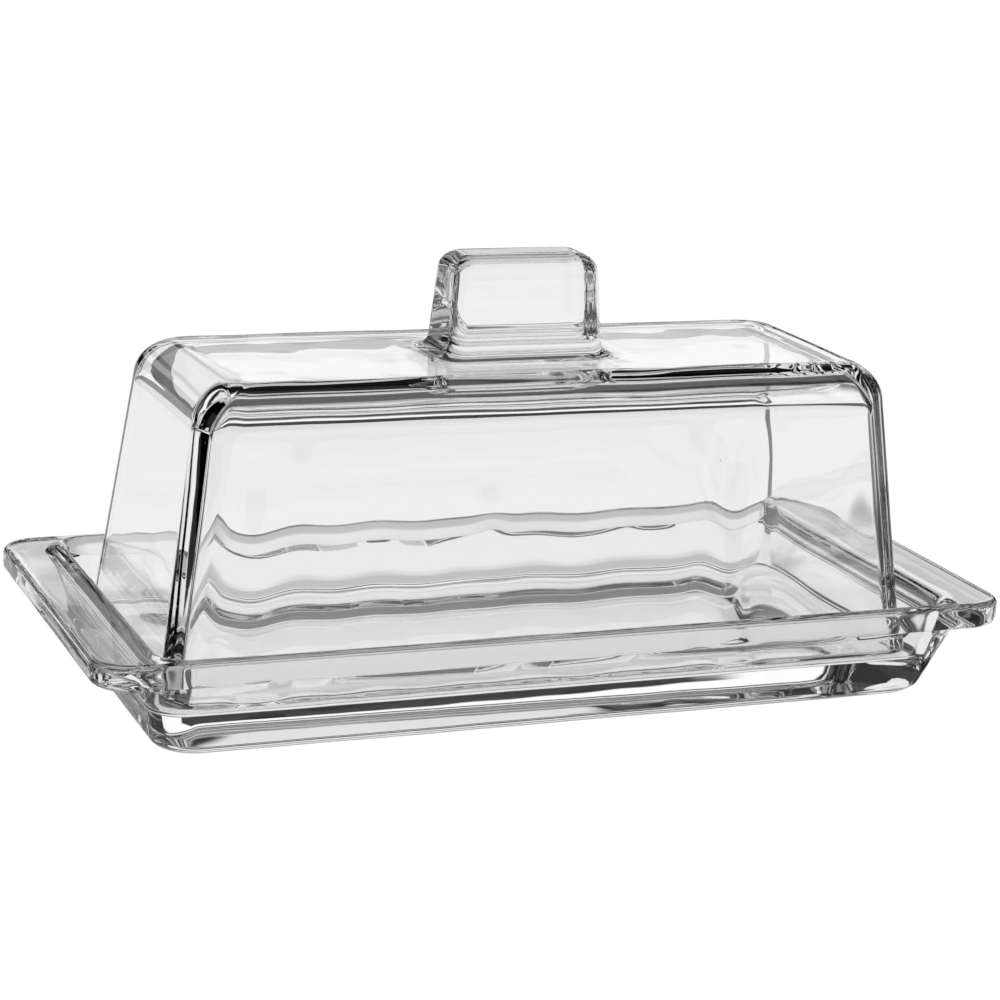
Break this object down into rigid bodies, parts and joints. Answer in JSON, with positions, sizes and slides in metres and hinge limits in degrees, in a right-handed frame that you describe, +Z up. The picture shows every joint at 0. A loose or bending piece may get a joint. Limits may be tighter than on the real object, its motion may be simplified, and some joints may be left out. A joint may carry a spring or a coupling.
{
  "type": "butter dish",
  "caption": "Pressed clear-glass butter dish: a shallow rectangular tray with flat handle flanges at its short ends, and a loose drafted cover with a block knob moulded in one.",
  "frame": {"origin": "centre of the tray's underside, level with the flat foot that stands on the table", "axes": "+X along the tray's long side towards one handle flange, +Y across the tray, +Z up through the knob"},
  "size_m": [0.19, 0.0856, 0.0872],
  "materials": {
    "dish_glass": "clear fire-polished pressed glass",
    "cover_glass": "clear fire-polished pressed glass"
  },
  "bodies": {
    "dish": {"dish": "dish_glass"},
    "cover": {"cover": "cover_glass"}
  },
  "joints": [
    {"name": "cover_lift", "type": "slide", "parent": "dish", "child": "cover", "axis": [0, 0, 1], "range_m": [0, 0.09]}
  ]
}
